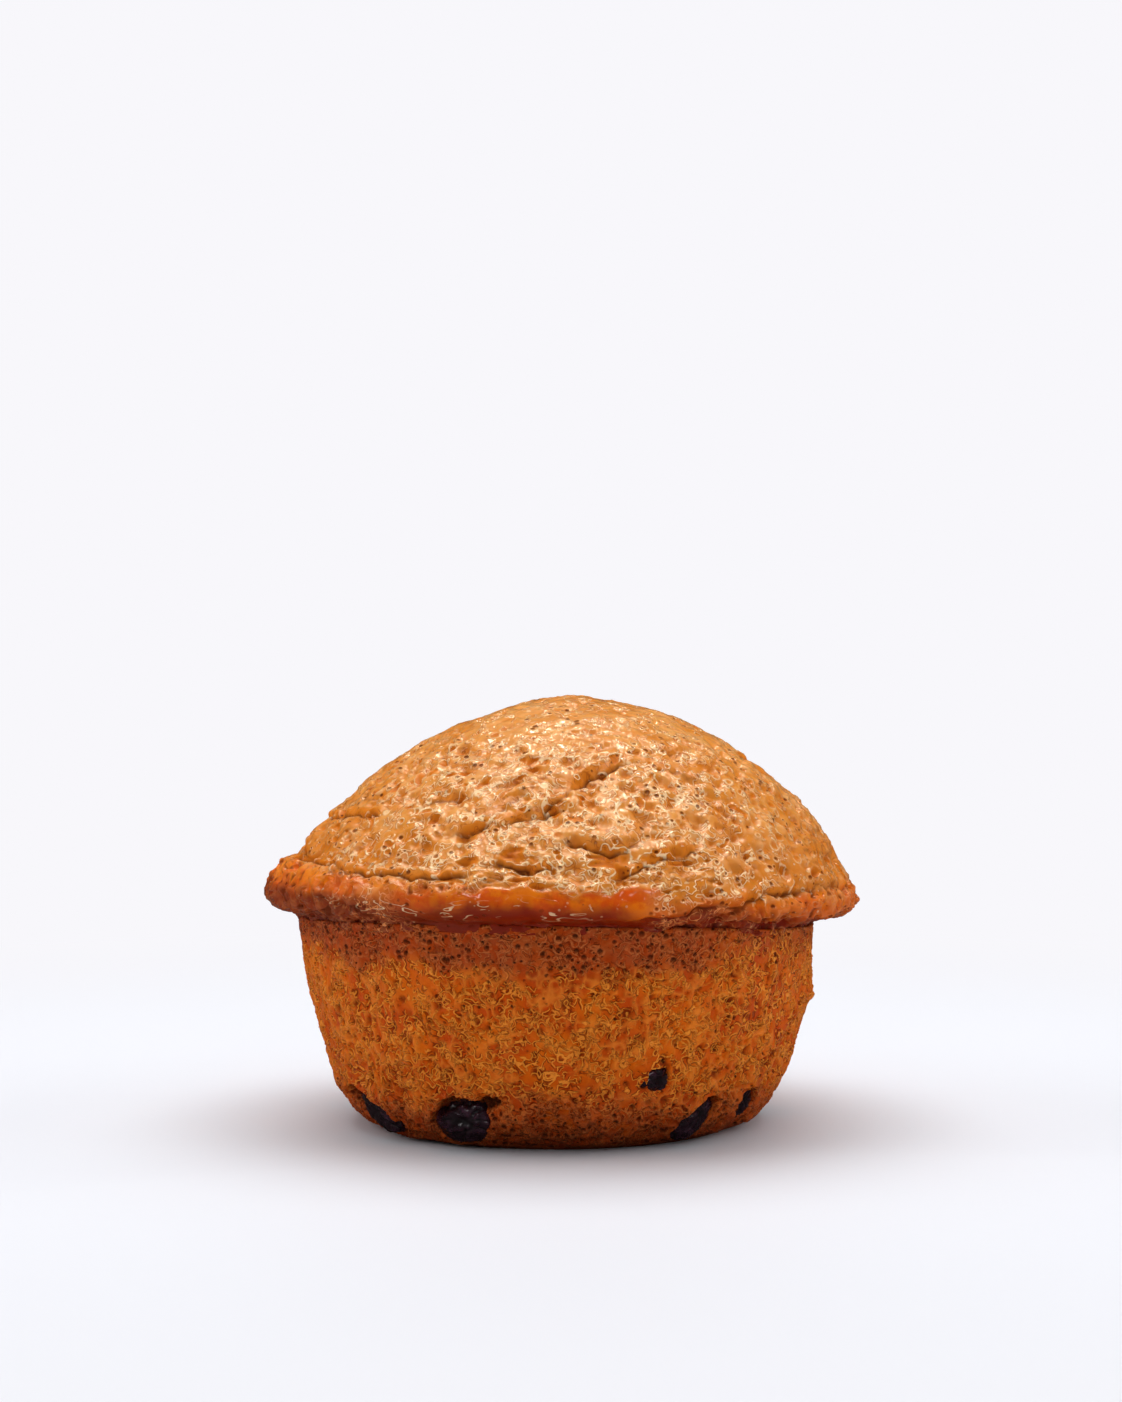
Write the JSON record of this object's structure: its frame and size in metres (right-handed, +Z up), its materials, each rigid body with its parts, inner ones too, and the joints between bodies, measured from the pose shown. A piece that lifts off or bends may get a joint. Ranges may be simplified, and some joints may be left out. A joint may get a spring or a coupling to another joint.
{
  "type": "berry muffin",
  "caption": "Small baked muffin with a tapered stump, an overhanging rim, a domed crown and dark berries low in its sides.",
  "frame": {"origin": "middle of the muffin's box, on the surface it rests on", "axes": "+Z up from the base to the crown; the front, with the deepest crown steps, looks along -Y"},
  "size_m": [0.0804, 0.0774, 0.0575],
  "materials": {
    "crust": null,
    "berry": null
  },
  "bodies": {
    "root": {"muffin": "crust", "berry_1": "berry", "berry_2": "berry", "berry_3": "berry", "berry_4": "berry", "berry_5": "berry", "berry_6": "berry", "berry_7": "berry", "berry_8": "berry", "berry_9": "berry", "berry_10": "berry"}
  },
  "joints": []
}
